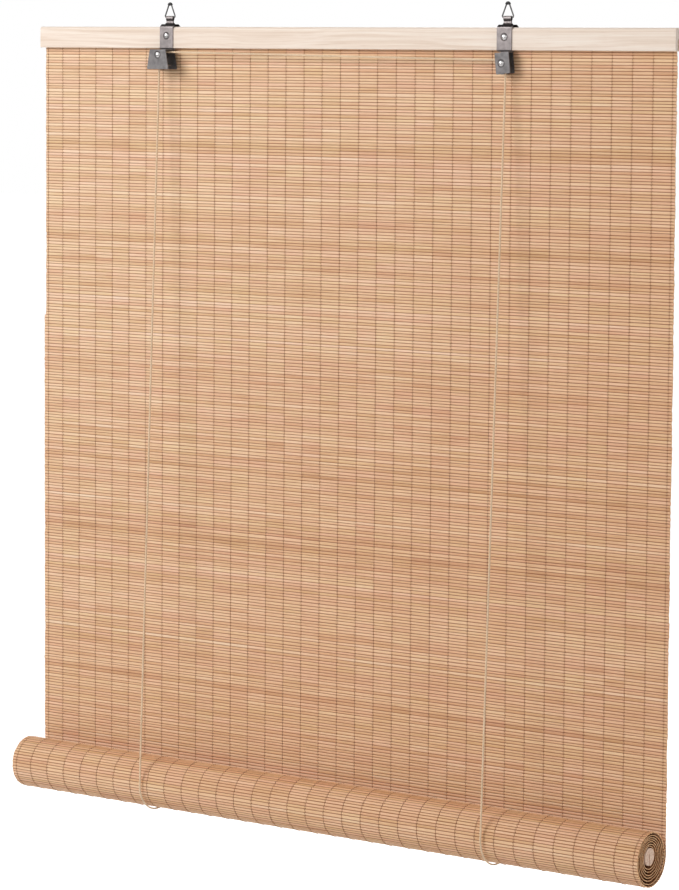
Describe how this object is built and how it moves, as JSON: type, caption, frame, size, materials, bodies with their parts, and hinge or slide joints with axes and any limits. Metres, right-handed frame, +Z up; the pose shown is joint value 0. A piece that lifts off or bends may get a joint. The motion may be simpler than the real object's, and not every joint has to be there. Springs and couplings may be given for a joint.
{
  "type": "bamboo roller shade",
  "caption": "Window shade of woven bamboo slats on a wooden head rail, rolled up from below by cords over a pulley and a cord lock, hung from wire hangers.",
  "frame": {"origin": "middle of the line on which the two wire hangers hang", "axes": "+X along the head rail to the right as seen from the room, +Y from the room side to the window side, +Z up"},
  "size_m": [0.914, 0.0821, 0.9916],
  "materials": {
    "rail_wood": "planed pale wood",
    "bamboo": "satin split bamboo",
    "dowel_wood": "sawn wood",
    "dark_steel": "gunmetal plating",
    "rivet_steel": "bright",
    "wire_steel": "dark wire",
    "black_sleeve": "matt",
    "wheel_metal": "dull",
    "cord": "twisted cord"
  },
  "bodies": {
    "rail_and_mat": {"head_rail": "rail_wood", "mat_hanging": "bamboo", "strap_left": "dark_steel", "strap_right": "dark_steel", "strap_rivet_left": "rivet_steel", "strap_rivet_right": "rivet_steel", "lock_housing": "dark_steel", "lock_axle": "rivet_steel", "lock_spacer": "rivet_steel", "pulley_housing": "dark_steel", "pulley_axle": "rivet_steel", "cord_cross": "cord", "cord_front_left": "cord", "cord_front_right": "cord", "cord_back_left": "cord", "cord_back_right": "cord", "knot_left": "cord", "knot_right": "cord"},
    "roll_cords": {"cord_bight_left": "cord", "cord_bight_right": "cord"},
    "roll": {"mat_roll": "bamboo", "dowel": "dowel_wood"},
    "hanger_left": {"hanger_left": "wire_steel", "hanger_sleeve_left": "black_sleeve"},
    "hanger_right": {"hanger_right": "wire_steel", "hanger_sleeve_right": "black_sleeve"},
    "pulley_wheel": {"pulley_wheel": "wheel_metal"},
    "lock_wheel": {"lock_wheel": "wheel_metal"},
    "lock_roller": {"lock_roller": "wheel_metal"}
  },
  "joints": [
    {"name": "roll_rise", "type": "slide", "parent": "rail_and_mat", "child": "roll_cords", "axis": [0, 0, 1], "range_m": [0, 0.78], "deforming": ["mat_hanging", "cord_front_left", "cord_front_right", "cord_back_left", "cord_back_right"]},
    {"name": "roll_turn", "type": "hinge", "parent": "roll_cords", "child": "roll", "pos_m": [0, -0.0322, -0.95259], "axis": [1, 0, 0], "range_deg": [-1370, 0]},
    {"name": "hanger_left_swing", "type": "hinge", "parent": "rail_and_mat", "child": "hanger_left", "pos_m": [-0.256, 0, -0.01539], "axis": [1, 0, 0], "range_deg": [-90, 90]},
    {"name": "hanger_right_swing", "type": "hinge", "parent": "rail_and_mat", "child": "hanger_right", "pos_m": [0.233, 0, -0.01539], "axis": [1, 0, 0], "range_deg": [-90, 90]},
    {"name": "pulley_spin", "type": "hinge", "parent": "rail_and_mat", "child": "pulley_wheel", "pos_m": [0.233, -0.00865, -0.06729], "axis": [0, 1, 0], "continuous": true},
    {"name": "lock_wheel_spin", "type": "hinge", "parent": "rail_and_mat", "child": "lock_wheel", "pos_m": [-0.2586, -0.01265, -0.06039], "axis": [0, 1, 0], "continuous": true},
    {"name": "lock_roller_slide", "type": "slide", "parent": "rail_and_mat", "child": "lock_roller", "axis": [-0.3746, 0, 0.9272], "range_m": [0, 0.005]}
  ],
  "couplings": [
    {"joint": "roll_turn", "follows": "roll_rise", "rad_per_m": -30.303}
  ]
}
